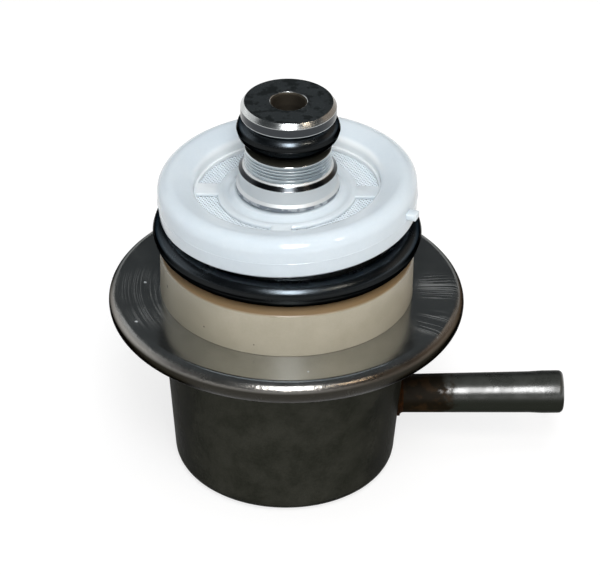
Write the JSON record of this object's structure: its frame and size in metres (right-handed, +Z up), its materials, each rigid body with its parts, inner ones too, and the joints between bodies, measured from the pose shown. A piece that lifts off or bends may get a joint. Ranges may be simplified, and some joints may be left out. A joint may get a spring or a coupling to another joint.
{
  "type": "fuel pressure regulator",
  "caption": "Push-in fuel pressure regulator: crimped can with vacuum nipple, sprung diaphragm valve, support ring, seal ring, strainer and return tube with O-ring.",
  "frame": {"origin": "centre of the spring cup's bottom face, on the axis", "axes": "+Z up the axis to the return tube's nose, +X along the vacuum nipple"},
  "size_m": [0.046, 0.0354, 0.0415],
  "materials": {
    "cup_coating": "dark satin",
    "nipple_steel": "dark polished",
    "braze": "rust-stained",
    "spring_steel": "satin",
    "plated_steel": "plated",
    "diaphragm_rubber": "matt",
    "carrier_brass": "turned",
    "ball_steel": "ground",
    "flange_steel": "dark, lightly scratched",
    "polished_steel": "turned and polished",
    "cream_plastic": "satin",
    "seal_rubber": "satin",
    "white_nylon": "moulded, translucent white",
    "mesh_nylon": "woven"
  },
  "bodies": {
    "housing": {"spring_housing": "cup_coating", "vacuum_nipple": "nipple_steel", "braze_fillet": "braze", "main_spring": "spring_steel", "diaphragm": "diaphragm_rubber", "fuel_housing": "flange_steel", "return_tube": "polished_steel", "support_ring": "cream_plastic", "seal_o_ring": "seal_rubber", "strainer_frame": "white_nylon", "strainer_mesh": "mesh_nylon", "nose_o_ring": "seal_rubber"},
    "valve": {"spring_seat": "plated_steel", "valve_carrier": "carrier_brass", "ball_retainer": "plated_steel", "ball_spring": "spring_steel"},
    "ball": {"valve_ball": "ball_steel"}
  },
  "joints": [
    {"name": "valve_lift", "type": "slide", "parent": "housing", "child": "valve", "axis": [0, 0, -1], "range_m": [0, 0.0005], "stiffness_N_per_m": 200, "springref_m": -0.001, "deforming": ["main_spring", "diaphragm"]},
    {"name": "ball_swivel", "type": "hinge", "parent": "valve", "child": "ball", "pos_m": [0, 0, 0.02442], "axis": [1, 0, 0], "range_deg": [-2, 2]}
  ]
}
